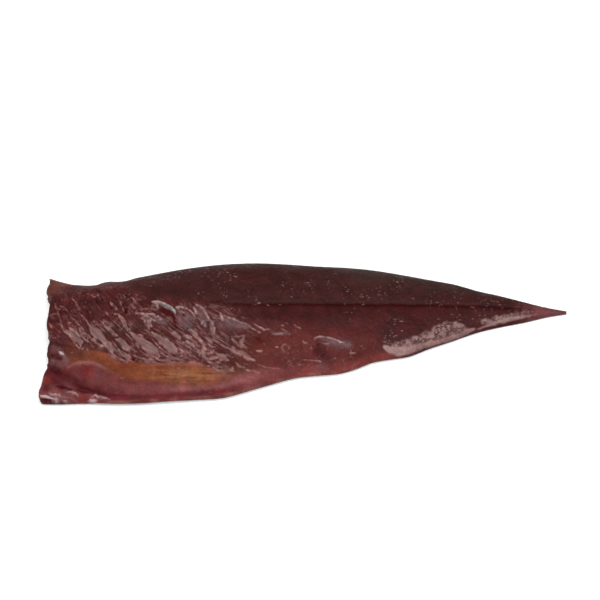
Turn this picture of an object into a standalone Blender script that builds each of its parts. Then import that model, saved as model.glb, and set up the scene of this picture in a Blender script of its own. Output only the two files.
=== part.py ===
"""Raw mackerel fillet, skin side down and flesh side up, as one solid in metres.

+X runs from the head cut to the tail, +Y from the belly edge to the back edge, +Z up.
The origin is at the middle of the fillet's footprint, on the surface that it lies on.
The solid is a loft: each station along the length has its own section, made of the flesh
side on top, the skin side below and a thin edge at the back and at the belly.
"""

import bmesh
import bpy
import numpy as np
from mathutils import Vector, noise

# Driving dimensions, in millimetres. The model is scaled to metres when the mesh is made.
MM = 0.001
HALF_LENGTH = 125.0
EDGE_THICKNESS = 1.3
BACKBONE_GROOVE = 0.5
BACKBONE_GROOVE_HALF_WIDTH = 1.5
SHOULDER = 0.5
RIB_PITCH = 7.6
RIB_RELIEF = 0.4
RIB_STEP = 0.9
FLAKE_HEIGHT = 0.7
FLAP_SWELL = 0.9
FLAP_CREST = 0.5
FOLD_DEPTH = 0.9
TORN_FLAP_HEIGHT = 1.2
TEAR_DEPTH = 2.2
HEAD_LUMP = 1.3
HEAD_CURL = 1.7
BROAD_BUMPS = 0.55
SMALL_BUMPS = 0.3

# The back edge, the belly edge and the line of the backbone, as (x, y) from head to tail.
BACK_EDGE = (
    (-125, 33.6), (-119, 31.0), (-114, 29.1), (-110, 28.4), (-104, 27.9), (-101, 28.4), (-99, 29.4),
    (-96.5, 30.0), (-91, 30.0), (-87.5, 30.5), (-83, 32.2), (-76, 34.1), (-60, 38.0), (-44, 40.7),
    (-32, 41.7), (-20, 41.9), (-8, 41.2), (6, 40.2), (16, 39.8), (28, 38.9), (46, 35.8), (60, 32.8),
    (73, 29.9), (82, 26.6), (93, 23.6), (105, 19.9), (113, 17.4), (119, 15.9), (125, 14.7),
)
BELLY_EDGE = (
    (-125, -40.9), (-118, -41.2), (-104, -40.9), (-87, -41.5), (-78, -41.2), (-68, -40.4), (-50, -38.8),
    (-38, -37.4), (-30, -34.6), (-17, -29.8), (-5, -25.8), (6, -24.3), (16, -23.0), (22, -20.9),
    (31, -16.5), (40, -14.4), (48, -12.8), (58, -8.0), (68, -3.8), (83, 2.7), (92, 5.4), (105, 8.7),
    (117, 12.3), (125, 13.9),
)
BACKBONE = (
    (-125, 4.5), (-110, 7.9), (-84, 11.5), (-60, 11.5), (-36, 10.1), (-3, 10.3), (20, 11.7), (44, 13.2),
    (68, 14.3), (93, 14.7), (107, 14.8), (125, 14.3),
)
# Over the belly cavity: where the ribs end, where the belly flap starts and the fold along the flap.
RIB_END = (
    (-125, -9.7), (-116, -11.7), (-109, -13.2), (-98, -14.1), (-94.5, -15.2), (-92, -17.2),
    (-89, -19.0), (-85.5, -19.8), (-82, -19.4), (-74, -20.4), (-55, -20.1), (-50, -20.9), (-47, -22.3),
    (-43, -24.9), (-37.5, -26.8), (-32, -27.2), (-10, -23.7),
)
FLAP_LINE = (
    (-125, -23.2), (-115, -22.7), (-111, -22.0), (-108.5, -20.7), (-104.5, -20.1), (-98.7, -20.3),
    (-96, -22.8), (-93, -24.9), (-88.5, -27.6), (-84, -29.2), (-78, -30.5), (-71, -31.5), (-64, -32.9),
    (-54.5, -33.6), (-47, -33.3), (-39.7, -31.7), (-33.7, -29.4), (-26.7, -27.1), (-19.7, -24.8),
    (-12.7, -23.2), (5, -20.2),
)
FOLD_LINE = (
    (-125, -20.2), (-121.7, -22.7), (-119, -23.7), (-115, -26.5), (-111, -29.9), (-108, -31.9),
    (-104, -33.4), (-100.4, -34.9), (-96.6, -36.0), (-92, -36.8), (-82.5, -37.4), (-68.5, -37.4),
    (-50, -35.7), (-30, -30.7),
)
# How thick the flesh is along the backbone, as (x, height).
THICKNESS = (
    (-125, 9.0), (-112, 11.2), (-90, 12.8), (-60, 13.6), (-20, 13.6), (5, 12.6), (30, 10.6), (55, 8.3),
    (80, 6.0), (98, 4.4), (112, 3.1), (125, 1.9),
)
FULL_THICKNESS = 13.0
# The torn head cut, as (share of the way from back to belly, x).
HEAD_CUT = (
    (0.0, -125.0), (0.06, -124.4), (0.17, -124.7), (0.205, -122.5), (0.26, -122.9), (0.37, -123.3),
    (0.47, -123.3), (0.535, -121.2), (0.6, -122.4), (0.73, -122.0), (0.79, -123.3), (0.9, -124.3),
    (0.97, -124.7), (1.0, -123.4),
)
# The flakes that stand out over the ribs: (x, y) of the upper end, (x, y) of the lower end, half width.
FLAKES = (
    ((-115.6, -0.6), (-106.1, -12.5), 1.7),
    ((-117.2, 14.3), (-112.7, 6.2), 1.0),
    ((-105.0, -2.8), (-96.1, -14.4), 2.0),
    ((-98.0, -1.0), (-90.1, -9.2), 0.9),
    ((-93.9, -8.8), (-84.2, -18.3), 1.6),
    ((-84.6, -3.9), (-69.1, -19.6), 2.4),
    ((-74.2, -5.1), (-60.7, -16.5), 2.0),
    ((-92.9, 10.6), (-87.6, 1.8), 1.0),
    ((-89.5, 1.7), (-84.6, -4.8), 1.1),
    ((-67.1, -2.9), (-59.9, -9.5), 1.0),
    ((-56.2, -4.3), (-49.5, -10.7), 1.2),
    ((-50.5, -11.9), (-39.9, -21.4), 1.3),
    ((-44.7, -15.7), (-35.2, -23.6), 1.3),
    ((-35.4, -7.9), (-31.5, -15.6), 1.5),
    ((-48.1, -8.0), (-24.9, -20.5), 0.9),
)
# The places of the small forms, as (x, y).
TEAR = (-67.0, 6.0)
TORN_FLAP = (-67.5, 8.6)
LUMP = (-116.5, -15.2)
# The skin's lift off the table at the back edge and at the belly edge, as shares of the thickness, and
# the shares of the way to each edge between which it rises.
BACK_LIFT = 0.27
BACK_RISE = (0.62, 1.25)
BELLY_LIFT = 0.08
BELLY_RISE = (0.84, 1.08)

# The grids, with the skin side coarser than the flesh side.
STATIONS = 108
ROWS = 40
SKIN_STATIONS = 54
SKIN_ROWS = 10


def through(points, at):
    """A smooth curve through the points, read at these places."""
    x, y = np.array(points, float).T
    slope = np.gradient(y, x)
    k = np.clip(np.searchsorted(x, at, "right") - 1, 0, len(x) - 2)
    step = x[k + 1] - x[k]
    t = np.clip((at - x[k]) / step, 0, 1)
    return (
        (1 + 2 * t) * (1 - t) ** 2 * y[k]
        + t * (1 - t) ** 2 * step * slope[k]
        + t**2 * (3 - 2 * t) * y[k + 1]
        + t**2 * (t - 1) * step * slope[k + 1]
    )


def ease(low, high, value):
    """0 below low, 1 above high, and smooth between them."""
    t = np.clip((value - low) / (high - low), 0, 1)
    return t * t * (3 - 2 * t)


def hump(centre, half_width, value):
    """A bell that is 1 at the centre and nearly 0 past its half width."""
    return np.exp(-(((value - centre) / half_width) ** 2) * 2.5)


def uneven(x, y, size, seed=0.0):
    """Smooth unevenness from about -1 to 1, with bumps of this size in millimetres."""
    flat = [noise.noise(Vector((a / size, b / size, seed))) for a, b in zip(np.ravel(x), np.ravel(y))]
    return np.reshape(flat, np.shape(x)) * 1.6


def across(x, y):
    """Where a point lies across the fillet: shares of the way to the back edge and to the belly edge."""
    middle = through(BACKBONE, x)
    to_back = (y - middle) / (through(BACK_EDGE, x) - middle)
    to_belly = (middle - y) / (middle - through(BELLY_EDGE, x))
    return np.clip(to_back, 0, 1), np.clip(to_belly, 0, 1)


def loin(share):
    """The fall of a thick muscle from the backbone, 1, to its edge, 0."""
    return (1 - share**2.4) ** 0.6


def flat_loin(share):
    """The same where the cut face falls gently and then faster to a thin edge."""
    return 1 - 0.35 * share**1.6 - 0.65 * share**5


def belly_wall(share):
    """The same over the belly cavity: a rib cage that falls to a thinner flap with a rounded edge."""
    ribs = 1 - 0.66 * ease(0.1, 0.66, share)
    return ribs * (1 - share**12) ** 0.5


def flakes(x, y):
    """The flakes that stand out over the ribs: 1 on their tops, falling to 0 beside them."""
    cover = np.zeros_like(x)
    for (ax, ay), (bx, by), half_width in FLAKES:
        length = np.hypot(bx - ax, by - ay)
        share = ((x - ax) * (bx - ax) + (y - ay) * (by - ay)) / length**2
        side = np.abs((x - ax) * (by - ay) - (y - ay) * (bx - ax)) / length
        wide = half_width * (0.3 + 0.7 * ease(0, 0.55, share))
        inside = np.minimum(wide - side, np.minimum(share, 1 - share) * length)
        cover = np.maximum(cover, ease(-0.7, 0.7, inside))
    return cover


def rib_relief(x, y):
    """Overlapping ribs of muscle, which slant to the tail as they near the belly, and their flakes."""
    below = through(BACKBONE, x) - y
    lean = 1 + 0.8 * ease(-105, -30, x)
    place = (x - lean * (0.5 * below + 0.007 * below**2) + 2.2 * uneven(x, y, 15, 3.0)) / RIB_PITCH
    wave = place - np.floor(place)
    rib = ease(0, 0.3, wave) * (1 - 0.25 * wave) - ease(0.8, 1, wave) - 0.5
    start = -14 * (1 - ease(-95, -70, x)) - 3
    where = ease(start, start + 8, below) * ease(0, 2.0, y - through(RIB_END, x))
    where = where * (1 - ease(-46, -16, x))
    return (RIB_STEP + RIB_RELIEF * rib) * where + FLAKE_HEIGHT * flakes(x, y)


def flap_relief(x, y):
    """The belly flap: a crest where the cavity lining ends, a swollen flap, a fold and a rim."""
    line = through(FLAP_LINE, x)
    fold = through(FOLD_LINE, x)
    swell = ease(0, 6, line - y) * ease(0, 5, y - fold) * (1 - ease(-60, -20, x))
    crest = np.exp(-(((y - line) / 1.6) ** 2)) * ease(-116, -110, x) * (1 - ease(-98, -84, x))
    crease = np.exp(-(((y - fold) / 2.2) ** 2)) * (1 - 0.5 * ease(-105, -80, x)) * (1 - ease(-60, -40, x))
    return FLAP_SWELL * swell + FLAP_CREST * crest - FOLD_DEPTH * crease


def head_corner(x, y):
    """A soft lump on the head cut, and the curled tip where the cut meets the belly edge."""
    lump = np.exp(-(((x - LUMP[0]) / 2.6) ** 2) - ((y - LUMP[1]) / 3.0) ** 2)
    curl = (1 - ease(-120, -106, x)) * ease(-30, -38, y)
    return HEAD_LUMP * lump + HEAD_CURL * curl


def tear(x, y):
    """A short slanting slit beside the backbone, and the torn flap that stands up behind it."""
    slit = hump(TEAR[0], 4.4, x) * hump(TEAR[1] - 1.0 * (x - TEAR[0]), 2.2, y)
    flap = hump(TORN_FLAP[0], 6.5, x) * hump(TORN_FLAP[1] - 0.75 * (x - TORN_FLAP[0]), 2.4, y)
    return TORN_FLAP_HEIGHT * flap - TEAR_DEPTH * slit


def section(x, to_back, to_belly, thick):
    """The plain section of the fillet: the height of the flesh side without any relief."""
    back_rim = BACK_LIFT * thick + EDGE_THICKNESS
    belly_rim = BELLY_LIFT * thick + EDGE_THICKNESS
    ribs = 1 - ease(-48, -4, x)
    belly_shape = ribs * belly_wall(to_belly) + (1 - ribs) * flat_loin(to_belly)
    back = back_rim + (thick - back_rim) * loin(to_back)
    belly = belly_rim + (thick - belly_rim) * belly_shape
    return np.where(to_back > 0, back, belly)


def flesh_height(x, y):
    """The height of the flesh side above the table."""
    to_back, to_belly = across(x, y)
    thick = through(THICKNESS, x)
    height = section(x, to_back, to_belly, thick)

    shoulder = SHOULDER * thick / FULL_THICKNESS * ease(-100, -40, x)
    height += shoulder * hump(0.24, 0.24, to_back) * (to_back > 0)
    height += 0.7 * shoulder * hump(0.22, 0.22, to_belly) * (to_belly > 0)
    beside = np.abs(y - through(BACKBONE, x)) / BACKBONE_GROOVE_HALF_WIDTH
    groove = BACKBONE_GROOVE * ease(-75, -30, x) * (1 - ease(100, 122, x))
    height -= groove * np.exp(-(beside**2)) * np.minimum(1, thick / 8)
    height += rib_relief(x, y) + flap_relief(x, y) + head_corner(x, y) + tear(x, y)

    inner = np.minimum(1, 3.2 * (1 - np.maximum(to_back, to_belly))) * np.minimum(1, thick / 9)
    return height + inner * (BROAD_BUMPS * uneven(x, y, 26, 1.0) + SMALL_BUMPS * uneven(x, y, 9, 2.0))


def skin_height(x, y):
    """The height of the skin side above the table: flat where it lies, lifted at the edges."""
    to_back, to_belly = across(x, y)
    back = BACK_LIFT * ease(*BACK_RISE, to_back) / ease(*BACK_RISE, 1.0) * (to_back > 0)
    belly = BELLY_LIFT * ease(*BELLY_RISE, to_belly) / ease(*BELLY_RISE, 1.0) * (to_belly > 0)
    return through(THICKNESS, x) * (back + belly)


def footprint(stations, rows):
    """The (x, y) of a grid over the fillet: stations from head to tail, rows from back to belly."""
    along = np.linspace(0, 1, stations + 1)[:, None]
    along = 0.6 * along + 0.4 * along**2
    even = np.linspace(0, 1, rows + 1)[None, :]
    down = 0.6 * even + 0.2 * (1 - np.cos(np.pi * even))
    head = through(HEAD_CUT, down)
    x = head + (HALF_LENGTH - head) * along
    y = through(BACK_EDGE, x) * (1 - down) + through(BELLY_EDGE, x) * down
    return x, y


def strip(fine, coarse, faces):
    """Adds faces between a row of vertices and a row with fewer, in the order fine, then coarse."""
    ratio = (len(fine) - 1) // (len(coarse) - 1)
    for k in range(len(coarse) - 1):
        run = fine[k * ratio:(k + 1) * ratio + 1]
        faces.append(tuple(run) + (coarse[k + 1], coarse[k]))


def quads(grid, faces):
    """Adds a quad for each cell of a grid of vertices, facing up."""
    for i in range(len(grid) - 1):
        for j in range(len(grid[0]) - 1):
            faces.append((grid[i][j], grid[i][j + 1], grid[i + 1][j + 1], grid[i + 1][j]))


def surface(mesh, stations, rows, height):
    """The vertices of a grid over the fillet, at the height that the function gives."""
    x, y = footprint(stations, rows)
    return [[mesh.verts.new(Vector(p) * MM) for p in zip(*row)] for row in zip(x, y, height(x, y))]


def fillet_mesh():
    """The closed mesh of the fillet: a flesh grid and a coarser skin grid, joined round their border."""
    mesh = bmesh.new()
    flesh = surface(mesh, STATIONS, ROWS, flesh_height)
    skin = surface(mesh, SKIN_STATIONS, SKIN_ROWS, skin_height)
    faces = []
    quads(flesh, faces)
    quads([row[::-1] for row in skin], faces)
    strip([row[0] for row in flesh], [row[0] for row in skin], faces)
    strip([row[-1] for row in flesh][::-1], [row[-1] for row in skin][::-1], faces)
    strip(flesh[0][::-1], skin[0][::-1], faces)
    strip(flesh[-1], skin[-1], faces)
    for face in faces:
        mesh.faces.new(face)
    bmesh.ops.recalc_face_normals(mesh, faces=mesh.faces)
    made = bpy.data.meshes.new("mackerel_fillet")
    mesh.to_mesh(made)
    mesh.free()
    return made


def flesh_material():
    """Dark wet flesh."""
    material = bpy.data.materials.new("raw_flesh")
    material.use_nodes = True
    shader = material.node_tree.nodes["Principled BSDF"]
    shader.inputs["Base Color"].default_value = (0.11, 0.035, 0.032, 1)
    shader.inputs["Roughness"].default_value = 0.3
    shader.inputs["Metallic"].default_value = 0.0
    return material


def main():
    for leftover in list(bpy.data.objects):
        bpy.data.objects.remove(leftover)
    collection = bpy.data.collections.new("mackerel_fillet")
    bpy.context.scene.collection.children.link(collection)
    fillet = bpy.data.objects.new("mackerel_fillet", fillet_mesh())
    fillet.data.materials.append(flesh_material())
    fillet.data.shade_smooth()
    fillet.data.set_sharp_from_angle(angle=np.radians(50))
    collection.objects.link(fillet)


main()
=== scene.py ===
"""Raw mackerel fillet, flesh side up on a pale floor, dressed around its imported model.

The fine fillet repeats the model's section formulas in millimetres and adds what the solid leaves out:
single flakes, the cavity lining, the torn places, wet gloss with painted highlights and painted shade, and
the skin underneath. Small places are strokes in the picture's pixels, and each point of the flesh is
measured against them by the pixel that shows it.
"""

import math

import bpy
import numpy as np
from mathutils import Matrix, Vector, noise


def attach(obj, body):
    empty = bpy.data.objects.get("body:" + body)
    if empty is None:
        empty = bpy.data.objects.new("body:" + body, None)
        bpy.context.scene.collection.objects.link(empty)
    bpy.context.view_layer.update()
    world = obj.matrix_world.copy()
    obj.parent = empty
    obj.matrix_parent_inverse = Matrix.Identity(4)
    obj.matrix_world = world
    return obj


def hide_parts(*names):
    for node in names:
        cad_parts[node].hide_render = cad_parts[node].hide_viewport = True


MM = 0.001

# The solid's driving dimensions, in millimetres. Its fold and flakes are lower here, its groove narrower.
HALF_LENGTH = 125.0
EDGE_THICKNESS = 1.3
BACKBONE_GROOVE = 0.5
BACKBONE_GROOVE_HALF_WIDTH = 1.3
SHOULDER = 0.5
FLAP_SWELL = 0.9
FOLD_DEPTH = 0.65
BACK_LIFT = 0.27
BELLY_LIFT = 0.08
RIB_PITCH = 7.6
FLAKE_HEIGHT = 0.5
# The usual height of the fine relief, and the least share of the edge's thickness that is skin.
MEAN_RELIEF = 0.5
LEAST_EDGE_SKIN = 0.2

BACK_EDGE = (
    (-125, 33.6), (-119, 31.0), (-114, 29.1), (-110, 28.4), (-104, 27.9), (-101, 28.4), (-99, 29.4),
    (-96.5, 30.0), (-91, 30.0), (-87.5, 30.5), (-83, 32.2), (-76, 34.1), (-60, 38.0), (-44, 40.7),
    (-32, 41.7), (-20, 41.9), (-8, 41.2), (6, 40.2), (16, 39.8), (28, 38.9), (46, 35.8), (60, 32.8),
    (73, 29.9), (82, 26.6), (93, 23.6), (105, 19.9), (113, 17.4), (119, 15.9), (125, 14.7),
)
BELLY_EDGE = (
    (-125, -40.9), (-118, -41.2), (-104, -40.9), (-87, -41.5), (-78, -41.2), (-68, -40.4), (-50, -38.8),
    (-38, -37.4), (-30, -34.6), (-17, -29.8), (-5, -25.8), (6, -24.3), (16, -23.0), (22, -20.9),
    (31, -16.5), (40, -14.4), (48, -12.8), (58, -8.0), (68, -3.8), (83, 2.7), (92, 5.4), (105, 8.7),
    (117, 12.3), (125, 13.9),
)
BACKBONE = (
    (-125, 4.5), (-110, 7.9), (-84, 11.5), (-60, 11.5), (-36, 10.1), (-3, 10.3), (20, 11.7), (44, 13.2),
    (68, 14.3), (93, 14.7), (107, 14.8), (125, 14.3),
)
RIB_END = (
    (-125, -9.7), (-116, -11.7), (-109, -13.2), (-98, -14.1), (-94.5, -15.2), (-92, -17.2),
    (-89, -19.0), (-85.5, -19.8), (-82, -19.4), (-74, -20.4), (-55, -20.1), (-50, -20.9), (-47, -22.3),
    (-43, -24.9), (-37.5, -26.8), (-32, -27.2), (-10, -23.7),
)
FLAP_LINE = (
    (-125, -23.2), (-115, -22.7), (-111, -22.0), (-108.5, -20.7), (-104.5, -20.1), (-98.7, -20.3),
    (-96, -22.8), (-93, -24.9), (-88.5, -27.6), (-84, -29.2), (-78, -30.5), (-71, -31.5), (-64, -32.9),
    (-54.5, -33.6), (-47, -33.3), (-39.7, -31.7), (-33.7, -29.4), (-26.7, -27.1), (-19.7, -24.8),
    (-12.7, -23.2), (5, -20.2),
)
FOLD_LINE = (
    (-125, -20.2), (-121.7, -22.7), (-119, -23.7), (-115, -26.5), (-111, -29.9), (-108, -31.9),
    (-104, -33.4), (-100.4, -34.9), (-96.6, -36.0), (-92, -36.8), (-82.5, -37.4), (-68.5, -37.4),
    (-50, -35.7), (-30, -30.7),
)
THICKNESS = (
    (-125, 9.0), (-112, 11.2), (-90, 12.8), (-60, 13.6), (-20, 13.6), (5, 12.6), (30, 10.6), (55, 8.3),
    (80, 6.0), (98, 4.4), (112, 3.1), (125, 1.9),
)
HEAD_CUT = (
    (0.0, -125.0), (0.06, -124.4), (0.17, -124.7), (0.205, -122.5), (0.26, -122.9), (0.37, -123.3),
    (0.47, -123.3), (0.535, -121.2), (0.6, -122.4), (0.73, -122.0), (0.79, -123.3), (0.9, -124.3),
    (0.97, -124.7), (1.0, -123.4),
)
# Strokes in the picture's pixels: the (across, down, half width) of the points along each.
# The broad glossy flakes over the ribs: their lighter tint is partly a painted reflection.
FLAKES = (
    ((66, 331, 0.8), (70, 332.5, 2.2), (73, 334.5, 3.6), (77, 339, 3.8), (80.5, 343, 2.8), (80.5, 347, 0.8)),
    ((69.5, 328.5, 0.8), (74, 330.5, 1.8), (76.5, 333, 1.2)),
    ((81.5, 331.5, 0.6), (83.5, 334, 1.4), (85.5, 336.5, 0.7)),
    ((89.5, 325, 0.8), (92, 328, 2.4), (95, 332, 4.2), (99, 335, 4.4), (102.5, 338.5, 2.8), (109, 346, 3),
     (111.5, 350, 2.6), (112, 353, 1)),
    ((90, 338.5, 0.8), (93, 340, 1.4), (95.5, 343, 0.7)),
    ((97, 343.5, 0.6), (100, 345.5, 1.4), (105, 347.5, 1.4), (110, 348.5, 1.2)),
    ((105, 326, 0.8), (108, 328, 1.4), (111, 331, 1.5), (114, 334.5, 1.7), (116.5, 336.5, 0.9)),
    ((116.5, 339.5, 0.8), (119, 340.5, 1.8), (122, 343, 3.2), (125.5, 347, 3.2), (128, 350, 1.8),
     (129.5, 352, 0.6)),
    ((118, 349, 0.6), (120, 351, 0.9), (124, 355, 1.8), (128, 357, 1.8), (131, 359, 0.8)),
    ((111, 303, 0.8), (113.5, 305.5, 1.5), (116, 308.5, 1.2)),
    ((119.5, 316, 0.8), (122, 319, 1.6), (124, 323, 2.4), (125.5, 327, 1.2)),
    ((130.5, 333, 0.8), (134, 335.5, 2), (139, 339, 4.2), (144, 344, 4.6), (153, 351, 5.2), (156, 355, 3.6),
     (156.5, 359, 0.9)),
    ((152, 332.5, 0.8), (155, 334.5, 1.4), (159, 338, 3), (164, 342.5, 3.6), (169, 346, 4.2),
     (173.5, 350, 3.4), (177, 352.5, 1)),
    ((163.5, 337, 0.6), (167, 340, 1.2), (171, 343, 1)),
    ((171.5, 331, 0.8), (174, 333, 1.6), (177, 337, 1.8), (180, 338, 0.9)),
    ((184, 336, 0.9), (187, 337, 1.8), (190.5, 338, 1.2)),
    ((186, 341, 0.6), (190, 343.5, 1.4), (194, 347, 0.9)),
    ((196, 349, 0.6), (199, 352, 1.2), (200, 356, 0.8)),
    ((207, 338, 0.8), (210, 341, 1.2), (212, 344, 0.8)),
    ((189, 330.5, 0.9), (192, 331, 1.8), (195, 333.5, 2), (198, 338, 1.6), (202, 343, 1.2), (204.5, 347, 1.6),
     (204.5, 350, 1)),
    ((203, 350, 1.2), (203.5, 354, 2), (204, 358.5, 1.6), (207, 360, 0.8)),
    ((206, 353, 0.8), (210, 353.5, 1.2), (213.5, 351.5, 0.9)),
    ((207, 358.5, 0.8), (212, 358.5, 1.4), (216, 357.5, 1.2)),
    ((210.5, 321, 0.8), (212, 325, 2), (213, 330, 1.9), (214, 334, 1.2)),
    ((217, 354, 0.8), (219, 356, 2.2), (223, 357.5, 3), (226, 359.5, 1.4), (228.5, 360.5, 0.6)),
    ((208.5, 362, 0.8), (211.5, 363, 1), (215, 364.5, 1.6), (221, 361, 0.8)),
    ((216, 367, 0.6), (224, 366.5, 1.2), (228, 368.5, 1.2), (232, 370, 1.4), (233, 367, 0.6)),
    ((229, 348.5, 0.8), (234, 351, 1.6), (240, 353, 2), (245, 355, 2.6), (250, 358.5, 1.6), (255, 360, 0.5)),
    ((231, 346, 0.6), (235, 349, 1), (239, 351, 1.4), (243, 352.5, 1.6)),
    ((231.5, 337, 0.7), (238, 336.5, 0.9), (244.5, 335.5, 1), (242.5, 340, 1.8), (240.5, 344, 1.8),
     (246, 348, 0.7)),
    ((232, 338, 0.8), (234.5, 341.5, 1.4), (238, 345, 1.4), (241, 347, 1.2)),
    ((61, 306.5, 0.7), (64, 308.5, 1.3), (67, 310.5, 0.8)),
)
# Thin pale threads and lifted edges, partly painted highlight lines.
THREADS = (
    ((57.5, 312, 0.6), (60.5, 321, 0.7), (61.5, 326, 0.8), (64, 331, 1), (69, 335, 0.9), (73, 341, 0.8),
     (79.5, 348.5, 0.8)),
    ((74, 319.5, 0.8), (77, 322.5, 1.1), (81, 327, 0.6), (84, 331, 0.7), (87, 335, 0.7), (88, 339, 0.7)),
    ((79.5, 328.5, 0.7), (80.5, 333, 0.6), (82, 337, 0.7), (85, 340, 1.2), (91.5, 343.5, 0.8)),
    ((81.5, 315.5, 0.8), (84, 318.5, 1.1), (86.5, 321, 0.8), (88.5, 325, 0.6)),
    ((100, 320.5, 0.6), (103, 323, 0.8), (105, 326, 0.7)),
    ((96, 322, 0.5), (101, 328, 0.5), (106, 333, 0.5)),
    ((112.5, 341.5, 0.6), (116, 346, 0.8), (120, 351, 0.9)),
    ((110.5, 343.5, 0.5), (114, 348, 0.7), (118, 352.5, 0.7), (121, 356, 0.7)),
    ((112, 353, 1), (112.5, 355, 1.3), (115.5, 357.5, 1.4), (120, 359.5, 0.9), (125, 361, 0.8)),
    ((123.5, 331, 0.6), (128, 336, 0.6), (133, 340.5, 0.6)),
    ((136, 343.5, 0.6), (140, 350, 0.7), (145, 354.5, 0.9), (150, 357.5, 0.9), (154, 360, 0.7)),
    ((132.5, 344, 0.5), (133.5, 350, 0.6), (135, 353, 0.5)),
    ((126, 326, 0.6), (127, 329, 0.9), (128, 331, 0.6)),
    ((151, 338, 0.6), (156, 343.5, 0.6), (161, 349, 0.7), (166, 352.5, 0.8), (170, 356, 1), (174, 358.5, 1.2),
     (178, 359, 0.8)),
    ((172, 353, 0.6), (177, 354.5, 0.9), (183, 352.5, 0.8)),
    ((176, 357, 0.6), (181, 356.5, 0.8), (186, 355, 0.6)),
    ((200.5, 339, 0.6), (203.5, 342, 0.7), (206, 345, 0.6)),
    ((209, 338, 0.7), (213, 340, 0.9), (218, 343.5, 1), (224, 347, 0.9), (229, 348.5, 1)),
    ((190.5, 352.5, 0.6), (194, 356.5, 0.7), (198, 360, 0.8)),
    ((193, 344, 0.6), (194, 348, 0.8), (194.5, 351.5, 0.6)),
    ((182, 344, 0.7), (185, 342.5, 0.9), (188, 344, 0.8), (190.5, 343.5, 0.6)),
    ((208, 344, 0.7), (211, 347, 1), (213, 348, 0.6)),
    ((212, 367.5, 0.5), (218, 370, 0.7), (224, 372, 0.7)),
    ((136, 313, 1.2), (140, 314, 0.8), (146, 314, 0.7), (153, 314, 0.6), (161, 318.5, 0.7)),
    ((141, 318.5, 0.8), (144.5, 320.5, 0.8), (145.5, 326, 0.6)),
    ((150, 321, 0.6), (148.5, 324.5, 0.8), (147, 327, 0.9)),
    ((142, 309.5, 0.6), (150, 309, 0.8), (157, 310, 0.7)),
    ((133, 299, 0.8), (135, 302, 0.9), (137, 304.5, 0.6)),
    ((131.5, 305, 0.8), (134, 308, 1.3), (135, 309.5, 0.6)),
    ((72, 298.5, 0.6), (75, 302, 0.9), (77.5, 306, 1.2), (79, 309, 0.7)),
    ((50, 316, 0.6), (53, 314.5, 0.8), (56, 314, 0.6)),
    ((49.5, 324, 0.6), (51, 327, 0.9), (52, 329, 0.6)),
    ((50.5, 335.5, 0.6), (53, 338, 0.8)),
    ((55, 304, 0.6), (56, 308, 0.9), (60, 310, 0.7)),
    ((71, 316.5, 0.6), (73, 319.5, 0.6)),
    ((106, 312.5, 0.8), (108.5, 316, 0.6)),
    ((115, 314.5, 0.8), (119.5, 314.5, 0.8)),
    ((120.5, 302, 0.6), (121.5, 306, 0.8), (124, 311, 0.6)),
    ((88, 294.5, 0.6), (95, 297, 0.7)),
    ((81, 349, 0.6), (84, 347.5, 0.9), (87.5, 349, 0.9)),
    ((171, 364.5, 0.5), (175, 366, 0.7), (179, 367.5, 0.5)),
    ((121, 377, 0.4), (125, 378, 0.6)),
    ((258, 364, 0.4), (265, 366.5, 0.6), (272, 367.5, 0.6), (280, 368, 0.5)),
    ((246, 369.5, 0.7), (250, 370.5, 1.2), (254, 370, 0.7)),
    ((255, 371, 0.7), (258, 372, 0.9), (260.5, 372, 0.6)),
    ((240.5, 366.5, 1), (244.5, 367, 1.2)),
    ((236, 363, 0.8), (238, 365, 1.2)),
    ((257, 350.5, 0.9), (261, 350.5, 1.3)),
    ((303, 359, 0.4), (315, 360, 0.6), (320.5, 361, 0.9)),
    ((351, 352.5, 0.8), (354.5, 352.5, 0.8)),
    ((303.5, 340.5, 0.7), (304.5, 342.5, 0.9), (308, 341.5, 0.5)),
    ((311.5, 345.5, 0.5), (311.5, 348.5, 0.6)),
    ((295, 324.5, 0.6), (297.5, 326.5, 0.8), (301, 328, 0.6)),
    ((272, 334, 0.6), (277, 333, 0.9), (282, 332.5, 1)),
    ((280, 327, 0.5), (283, 329, 0.7), (287, 330.5, 0.5)),
    ((154, 356, 0.6), (158, 359.5, 1), (164, 360.5, 0.9), (170, 359.5, 0.7)),
    ((160, 353, 0.6), (166, 356.5, 1), (174, 359.5, 1), (182, 359.5, 0.8), (188, 357.5, 0.6)),
    ((180, 350, 0.6), (185, 351, 0.9), (189, 354, 0.9), (192, 357, 0.6)),
    ((133, 355, 0.5), (139, 358, 0.9), (146, 360, 0.9), (152, 360.5, 0.6)),
    ((186, 346, 0.6), (190, 348.5, 0.9), (192, 351, 0.6)),
    ((68, 391, 0.6), (73, 392.5, 1.2), (77, 394, 1.2), (78, 396, 0.6)),
    ((58, 394.6, 0.6), (63, 396, 0.8), (68, 397.4, 0.6)),
    ((49, 392.5, 0.6), (54, 394.5, 1.3), (57, 395, 1.1)),
    ((68, 396, 0.5), (74, 399.5, 0.7), (80, 402, 0.8)),
    ((96, 396.5, 0.8), (100, 398.5, 0.9), (106, 399.5, 0.7)),
    ((91, 395, 0.7), (95, 394.5, 0.9)),
)
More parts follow.
